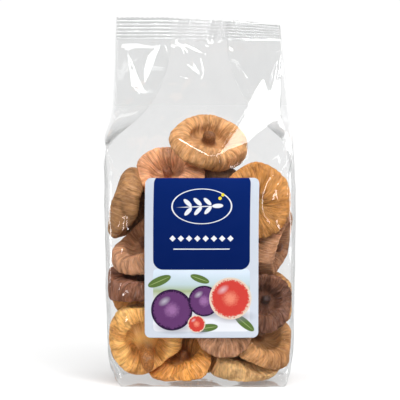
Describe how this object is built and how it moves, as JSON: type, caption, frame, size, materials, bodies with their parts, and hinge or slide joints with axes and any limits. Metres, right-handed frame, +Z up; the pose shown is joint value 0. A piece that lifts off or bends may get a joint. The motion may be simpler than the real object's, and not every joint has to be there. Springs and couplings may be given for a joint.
{
  "type": "bag of dried figs",
  "caption": "Clear side-gusset film bag with a crimped top seal and a front paper label, filled with flattened dried figs, standing on its folded base.",
  "frame": {"origin": "middle of the bag's footprint, on the surface that it stands on", "axes": "+Z up to the seal, -Y out of the front with the label, +X to the right as the label is seen"},
  "size_m": [0.121, 0.0684, 0.226],
  "materials": {
    "clear_film": "clear, stiff, glossy packing film with sharp creases",
    "label_paper": "coated paper, printed, semi-matt",
    "fig_gold": "dried fruit skin, golden, finely wrinkled, satin",
    "fig_amber": "dried fruit skin, orange-brown, finely wrinkled, satin",
    "fig_pale": "dried fruit skin, pale tan, finely wrinkled, satin",
    "fig_tan": "dried fruit skin, tan, finely wrinkled, satin",
    "fig_brown": "dried fruit skin, brown, finely wrinkled, satin",
    "fig_dark": "dried fruit skin, dark red-brown, finely wrinkled, satin"
  },
  "bodies": {
    "root": {"film_bag": "clear_film", "label": "label_paper", "fig_top": "fig_tan", "fig_shoulder_left": "fig_brown", "fig_edge_left": "fig_tan", "fig_eye_right": "fig_amber", "fig_upright_right": "fig_brown", "fig_mid_left": "fig_brown", "fig_low_left": "fig_dark", "fig_stem_left": "fig_gold", "fig_floor_middle": "fig_amber", "fig_eye_low": "fig_brown", "fig_floor_right": "fig_pale", "fig_low_right": "fig_tan", "fig_dark_right": "fig_dark", "fig_label_high": "fig_tan", "fig_label_low": "fig_tan", "fig_back_floor_left": "fig_tan", "fig_back_floor_middle": "fig_gold", "fig_back_floor_right": "fig_brown", "fig_back_low_left": "fig_amber", "fig_back_low_middle": "fig_brown", "fig_back_edge_right": "fig_tan", "fig_back_mid_left": "fig_tan", "fig_back_mid_right": "fig_dark", "fig_back_top": "fig_brown"}
  },
  "joints": []
}
